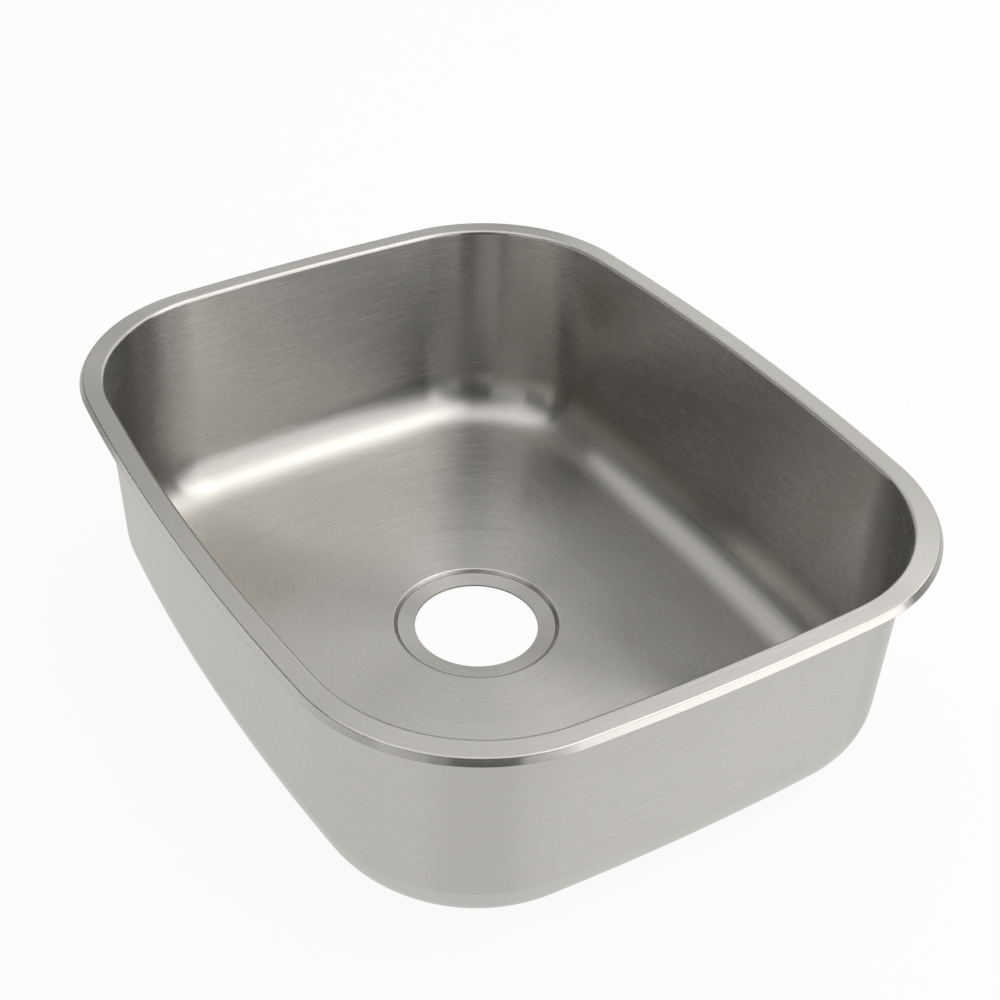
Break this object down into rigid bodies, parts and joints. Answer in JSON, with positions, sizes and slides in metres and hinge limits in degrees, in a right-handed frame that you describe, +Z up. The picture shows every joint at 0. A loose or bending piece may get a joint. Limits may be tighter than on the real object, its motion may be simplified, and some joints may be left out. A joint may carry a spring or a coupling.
{
  "type": "undermount kitchen sink",
  "caption": "Undermount kitchen sink: a deep brushed stainless bowl with rounded corners, a turned-down flange and a recessed drain opening.",
  "frame": {"origin": "on the drain opening's axis, level with the underside of the sound pads, on which the sink stands", "axes": "+Z up, out of the bowl; +X along the bowl's length; +Y along its width"},
  "size_m": [0.55, 0.4498, 0.1713],
  "materials": {
    "sink_steel": "satin brushed stainless steel",
    "pad_rubber": "matt black damping rubber"
  },
  "bodies": {
    "root": {"sink_bowl": "sink_steel", "sound_pad_left": "pad_rubber", "sound_pad_right": "pad_rubber"}
  },
  "joints": []
}
